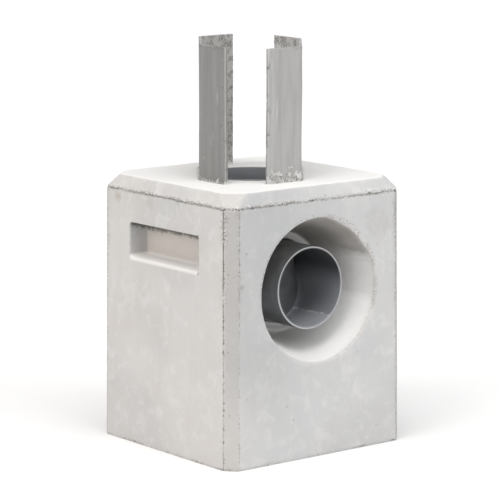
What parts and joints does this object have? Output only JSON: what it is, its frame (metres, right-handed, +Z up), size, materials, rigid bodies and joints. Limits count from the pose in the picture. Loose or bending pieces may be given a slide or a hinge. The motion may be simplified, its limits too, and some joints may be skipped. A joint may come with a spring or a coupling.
{
  "type": "column base block",
  "caption": "Cast footing block with a bevelled top, hand pockets, a cast-in drain bend opening in a conical side recess, and folded metal channels that locate a hollow column.",
  "frame": {"origin": "centre of the bounding box on the underside, which is where the socket's axis meets the ground", "axes": "+Z up along the socket's axis, -Y out of the outlet's wall, +X to the right of someone who faces the outlet"},
  "size_m": [0.3, 0.29, 0.538],
  "materials": {
    "concrete": "cast concrete, matt, with pores and pale smears",
    "pipe_plastic": "grey drain plastic, satin",
    "dull_sheet": "dull galvanised sheet with upright streaks",
    "bright_sheet": "pale galvanised sheet with concrete residue"
  },
  "bodies": {
    "root": {"concrete_block": "concrete", "drain_bend": "pipe_plastic", "left_channel": "dull_sheet", "right_channel": "bright_sheet"}
  },
  "joints": []
}
